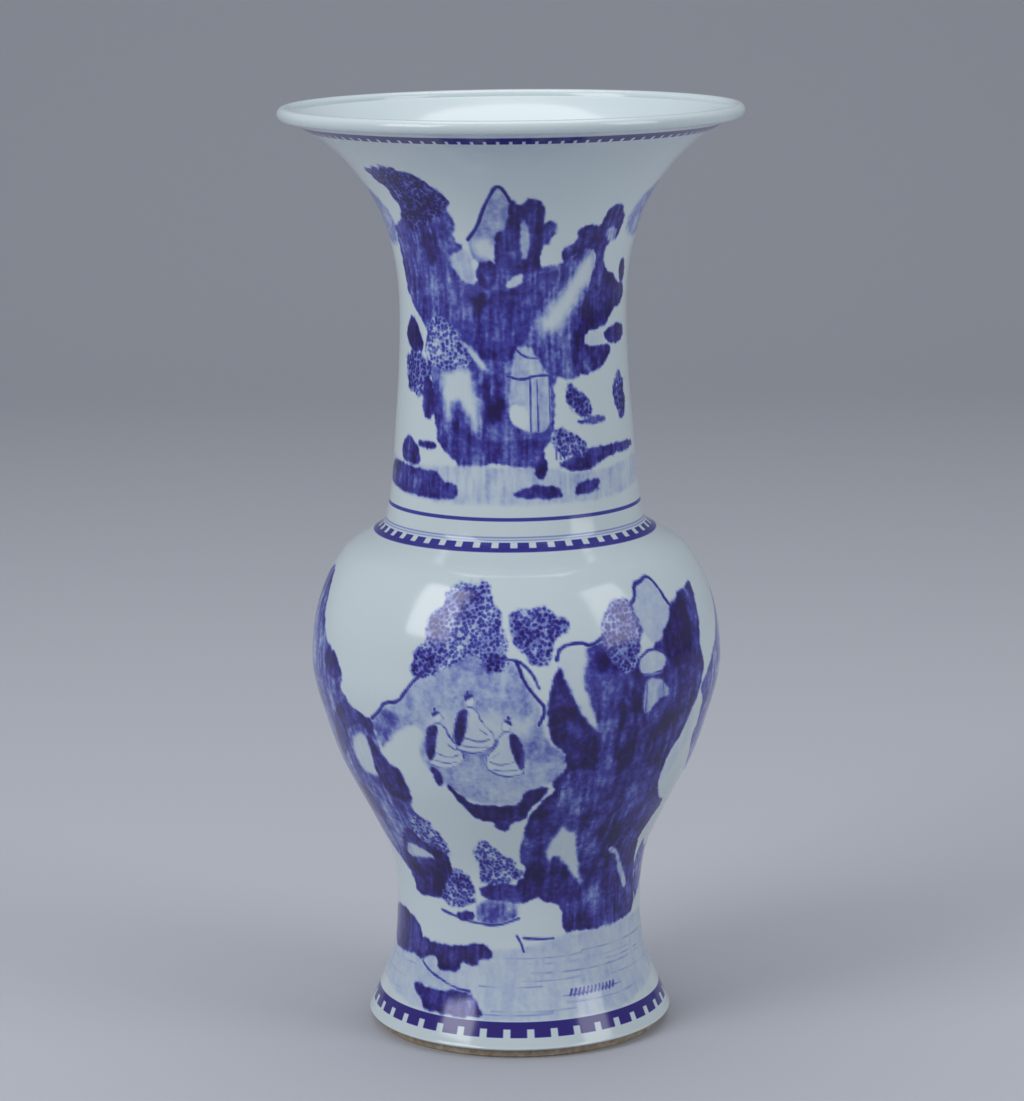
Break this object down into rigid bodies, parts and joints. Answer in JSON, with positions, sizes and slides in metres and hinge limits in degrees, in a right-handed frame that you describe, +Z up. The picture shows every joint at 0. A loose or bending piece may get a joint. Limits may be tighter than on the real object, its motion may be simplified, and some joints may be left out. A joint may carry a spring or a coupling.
{
  "type": "blue and white porcelain vase",
  "caption": "Tall porcelain vase with a trumpet mouth, long neck, swelling shoulder, drawn-in waist and spreading foot, painted in cobalt blue.",
  "frame": {"origin": "centre of the foot ring on the surface that the vase stands on", "axes": "+Z up along the vase's axis; -Y is the side that faces the viewer in the picture"},
  "size_m": [0.225, 0.225, 0.4549],
  "materials": {
    "glazed_porcelain": "glossy",
    "cobalt_painted_porcelain": "glossy",
    "dry_foot_porcelain": "matte",
    "slip": "satin"
  },
  "bodies": {
    "root": {"mouth_section": "cobalt_painted_porcelain", "mouth_seam": "slip", "neck_section": "cobalt_painted_porcelain", "collar_seam": "slip", "shoulder_section": "cobalt_painted_porcelain", "belly_seam": "slip", "lower_belly_section": "cobalt_painted_porcelain", "waist_seam": "slip", "foot_section": "cobalt_painted_porcelain", "base_disc": "glazed_porcelain", "base_slip_fillet": "dry_foot_porcelain"}
  },
  "joints": []
}
